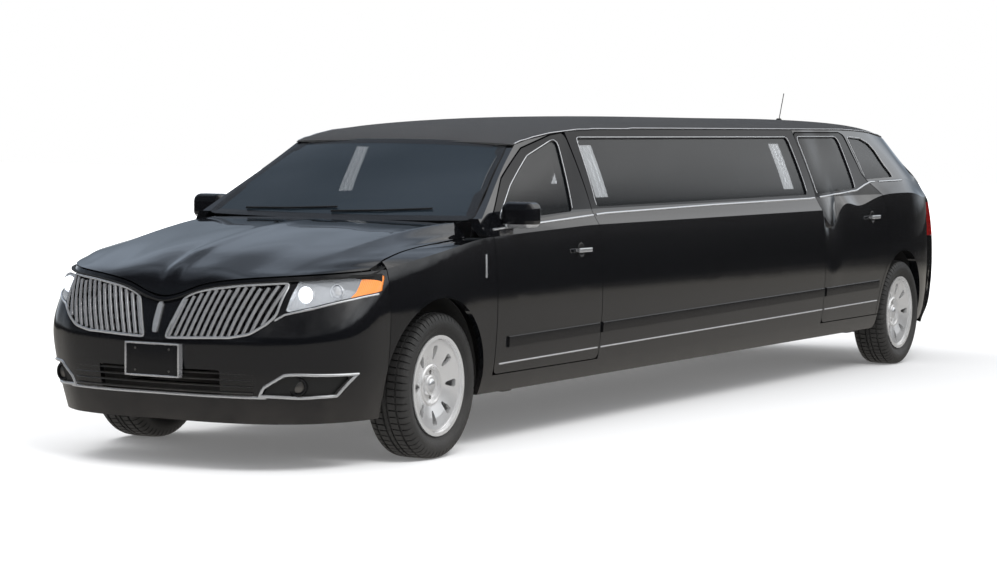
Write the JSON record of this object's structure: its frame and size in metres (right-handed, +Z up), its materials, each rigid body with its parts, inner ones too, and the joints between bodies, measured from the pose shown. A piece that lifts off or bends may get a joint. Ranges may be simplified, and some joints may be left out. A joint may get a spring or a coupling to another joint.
{
  "type": "stretch limousine",
  "caption": "Long black wagon-bodied limousine with a winged upright-bar grille, vinyl roof, opening doors, hood and tailgate, and steered wheels.",
  "frame": {"origin": "on the ground, under the middle of the car's length and width", "axes": "+X to the front of the car, +Y to its left, +Z up"},
  "size_m": [8.8514, 2.16, 1.923],
  "materials": {
    "aerial": "satin",
    "centre_panels": "gloss black",
    "dashboard": "grained",
    "door": "gloss black",
    "engine_block": "cast",
    "exhaust": "dull",
    "fog_lamps": "clear",
    "front_bumper": "gloss black",
    "front_fenders": "gloss black",
    "front_liners": "matt",
    "front_pillars": "gloss black",
    "front_subframe": "satin",
    "glass_door": "dark tint",
    "grille": "bright",
    "headlamps": "clear",
    "hood": "gloss black",
    "knuckle": "cast",
    "light_bars": "frosted white",
    "mirror_shell": "gloss black",
    "quarter_panels": "gloss black",
    "rear_bumper": "gloss black",
    "rear_subframe": "satin",
    "roof": "grained vinyl",
    "seats": "soft",
    "side_glass": "dark tint",
    "sills": "gloss black",
    "steering_wheel": "smooth",
    "tail_lamps": "clear red",
    "tailgate": "gloss black",
    "tailgate_glass": "dark tint",
    "tyre": "matt",
    "underbody": "matt underseal",
    "wheel": "polished",
    "windscreen": "tinted",
    "wipers": "satin"
  },
  "bodies": {
    "body": {"underbody": "underbody", "sills": "sills", "front_liners": "front_liners", "front_subframe": "front_subframe", "rear_subframe": "rear_subframe", "engine_block": "engine_block", "exhaust": "exhaust", "front_fenders": "front_fenders", "front_pillars": "front_pillars", "centre_panels": "centre_panels", "quarter_panels": "quarter_panels", "roof": "roof", "windscreen": "windscreen", "side_glass": "side_glass", "light_bars": "light_bars", "front_bumper": "front_bumper", "grille": "grille", "headlamps": "headlamps", "fog_lamps": "fog_lamps", "rear_bumper": "rear_bumper", "tail_lamps": "tail_lamps", "dashboard": "dashboard", "seats": "seats", "aerial": "aerial", "wipers": "wipers"},
    "hood": {"hood": "hood"},
    "tailgate": {"tailgate": "tailgate", "tailgate_glass": "tailgate_glass"},
    "door_front_left": {"door_front_left": "door", "glass_front_left": "glass_door", "mirror_left": "mirror_shell"},
    "door_front_right": {"door_front_right": "door", "glass_front_right": "glass_door", "mirror_right": "mirror_shell"},
    "door_rear_left": {"door_rear_left": "door", "glass_rear_left": "glass_door"},
    "door_rear_right": {"door_rear_right": "door", "glass_rear_right": "glass_door"},
    "knuckle_left": {"knuckle_left": "knuckle"},
    "knuckle_right": {"knuckle_right": "knuckle"},
    "wheel_front_left": {"wheel_front_left": "wheel", "tyre_front_left": "tyre"},
    "wheel_front_right": {"wheel_front_right": "wheel", "tyre_front_right": "tyre"},
    "wheel_rear_left": {"wheel_rear_left": "wheel", "tyre_rear_left": "tyre"},
    "wheel_rear_right": {"wheel_rear_right": "wheel", "tyre_rear_right": "tyre"},
    "steering_wheel": {"steering_wheel": "steering_wheel"}
  },
  "joints": [
    {"name": "door_front_left_hinge", "type": "hinge", "parent": "body", "child": "door_front_left", "pos_m": [2.7555, 0.98, 0.7], "axis": [0, 0, -1], "range_deg": [0, 65]},
    {"name": "door_front_right_hinge", "type": "hinge", "parent": "body", "child": "door_front_right", "pos_m": [2.7555, -0.98, 0.7], "axis": [0, 0, 1], "range_deg": [0, 65]},
    {"name": "door_rear_left_hinge", "type": "hinge", "parent": "body", "child": "door_rear_left", "pos_m": [-1.7545, 0.98, 0.7], "axis": [0, 0, -1], "range_deg": [0, 65]},
    {"name": "door_rear_right_hinge", "type": "hinge", "parent": "body", "child": "door_rear_right", "pos_m": [-1.7545, -0.98, 0.7], "axis": [0, 0, 1], "range_deg": [0, 65]},
    {"name": "steer_left", "type": "hinge", "parent": "body", "child": "knuckle_left", "pos_m": [3.3075, 0.75, 0.37], "axis": [0, 0, 1], "range_deg": [-32, 32]},
    {"name": "steer_right", "type": "hinge", "parent": "body", "child": "knuckle_right", "pos_m": [3.3075, -0.75, 0.37], "axis": [0, 0, 1], "range_deg": [-32, 32]},
    {"name": "wheel_front_left_spin", "type": "hinge", "parent": "knuckle_left", "child": "wheel_front_left", "pos_m": [3.3075, 0.8415, 0.37], "axis": [0, 1, 0], "continuous": true},
    {"name": "wheel_front_right_spin", "type": "hinge", "parent": "knuckle_right", "child": "wheel_front_right", "pos_m": [3.3075, -0.8415, 0.37], "axis": [0, 1, 0], "continuous": true},
    {"name": "wheel_rear_left_spin", "type": "hinge", "parent": "body", "child": "wheel_rear_left", "pos_m": [-3.2425, 0.8415, 0.37], "axis": [0, 1, 0], "continuous": true},
    {"name": "wheel_rear_right_spin", "type": "hinge", "parent": "body", "child": "wheel_rear_right", "pos_m": [-3.2425, -0.8415, 0.37], "axis": [0, 1, 0], "continuous": true},
    {"name": "steering_turn", "type": "hinge", "parent": "body", "child": "steering_wheel", "pos_m": [2.2725, -0.38, 0.96], "axis": [-0.9135, 0, 0.4067], "range_deg": [-480, 480]},
    {"name": "hood_hinge", "type": "hinge", "parent": "body", "child": "hood", "pos_m": [2.8675, 0, 1.13], "axis": [0, -1, 0], "range_deg": [0, 45]},
    {"name": "tailgate_hinge", "type": "hinge", "parent": "body", "child": "tailgate", "pos_m": [-3.85, 0, 1.612], "axis": [0, 1, 0], "range_deg": [0, 75]}
  ],
  "couplings": [
    {"joint": "steer_right", "follows": "steer_left", "ratio": 1},
    {"joint": "steering_turn", "follows": "steer_left", "ratio": 15}
  ]
}
